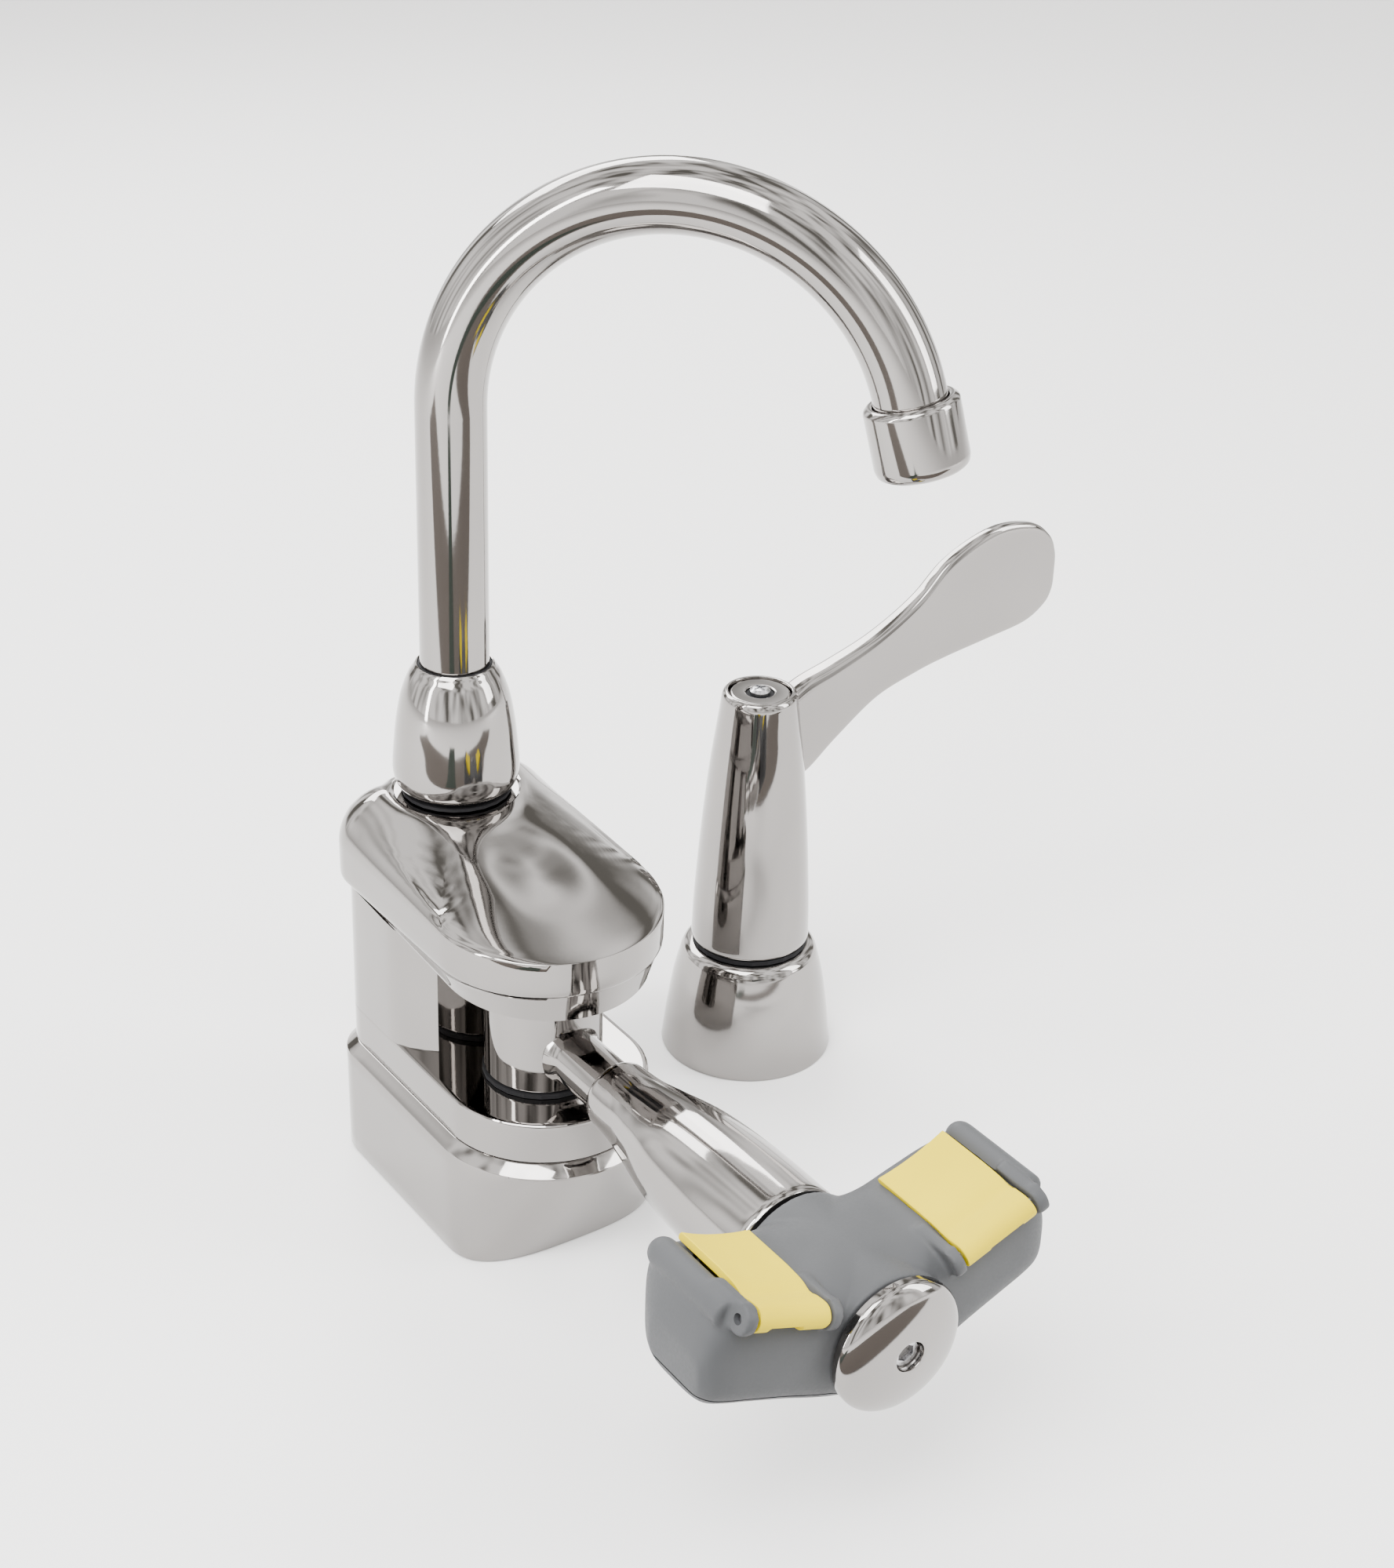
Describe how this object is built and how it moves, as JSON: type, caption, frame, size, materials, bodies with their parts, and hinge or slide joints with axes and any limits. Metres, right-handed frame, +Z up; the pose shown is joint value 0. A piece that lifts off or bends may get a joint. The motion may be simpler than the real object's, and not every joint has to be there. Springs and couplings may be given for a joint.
{
  "type": "eyewash station",
  "caption": "Deck-mounted eyewash faucet: swivelling gooseneck spout, swing-out eyewash head with flip-up dust covers, and a separate wrist-blade handle.",
  "frame": {"origin": "where the spout's riser axis meets the deck, on the underside of the mounting plate", "axes": "+Z up, -Y to the front over the sink, +X towards the handle"},
  "size_m": [0.2644, 0.2342, 0.2965],
  "materials": {
    "polished_chrome": "mirror polished",
    "bare_brass": "turned, unpolished",
    "stainless_steel": "fine brushed",
    "grey_plastic": "fine moulded satin",
    "yellow_plastic": "fine moulded satin",
    "black_rubber": "matt"
  },
  "bodies": {
    "station": {"base_skirt": "polished_chrome", "body_casting": "polished_chrome", "hood_cover": "polished_chrome", "collar": "polished_chrome", "escutcheon": "polished_chrome", "spout_shank": "bare_brass", "inlet_tube_left": "bare_brass", "inlet_tube_right": "bare_brass", "pivot_core": "bare_brass", "pivot_bushing": "bare_brass", "valve_bonnet": "bare_brass", "mounting_plate": "stainless_steel", "collar_base_seal": "black_rubber", "collar_top_seal": "black_rubber", "pivot_seal": "black_rubber", "escutcheon_gasket": "black_rubber", "handle_seal": "black_rubber"},
    "spout": {"gooseneck": "polished_chrome", "aerator_housing": "polished_chrome", "aerator_washer": "black_rubber", "aerator_screen": "stainless_steel"},
    "eyewash_arm": {"pivot_hub": "polished_chrome", "arm_tube": "polished_chrome", "arm_sleeve": "polished_chrome", "head_pan": "grey_plastic", "head_shell": "grey_plastic", "nozzle_left": "grey_plastic", "nozzle_right": "grey_plastic", "nozzle_screen_left": "stainless_steel", "nozzle_screen_right": "stainless_steel", "hinge_pin_left": "stainless_steel", "hinge_pin_right": "stainless_steel", "end_cap": "polished_chrome", "end_cap_screw": "stainless_steel"},
    "left_cover": {"cover_left": "yellow_plastic"},
    "right_cover": {"cover_right": "yellow_plastic"},
    "handle": {"lever_handle": "polished_chrome", "handle_cap": "polished_chrome", "handle_cap_washer": "black_rubber", "handle_cap_screw": "stainless_steel", "valve_stem": "bare_brass"}
  },
  "joints": [
    {"name": "spout_swivel", "type": "hinge", "parent": "station", "child": "spout", "pos_m": [0, 0, 0.135], "axis": [0, 0, 1], "range_deg": [-132.7, 47.3]},
    {"name": "arm_swing", "type": "hinge", "parent": "station", "child": "eyewash_arm", "pos_m": [0, -0.0468, 0.061], "axis": [0, 0, 1], "range_deg": [-90, 0]},
    {"name": "left_cover_flip", "type": "hinge", "parent": "eyewash_arm", "child": "left_cover", "pos_m": [-0.03, -0.2018, 0.08], "axis": [0.9397, 0, -0.342], "range_deg": [0, 110]},
    {"name": "right_cover_flip", "type": "hinge", "parent": "eyewash_arm", "child": "right_cover", "pos_m": [0.03, -0.2018, 0.08], "axis": [0.9397, 0, 0.342], "range_deg": [0, 110]},
    {"name": "handle_turn", "type": "hinge", "parent": "station", "child": "handle", "pos_m": [0.1016, -0.0027, 0.08], "axis": [0, 0, 1], "range_deg": [-90, 0]}
  ]
}
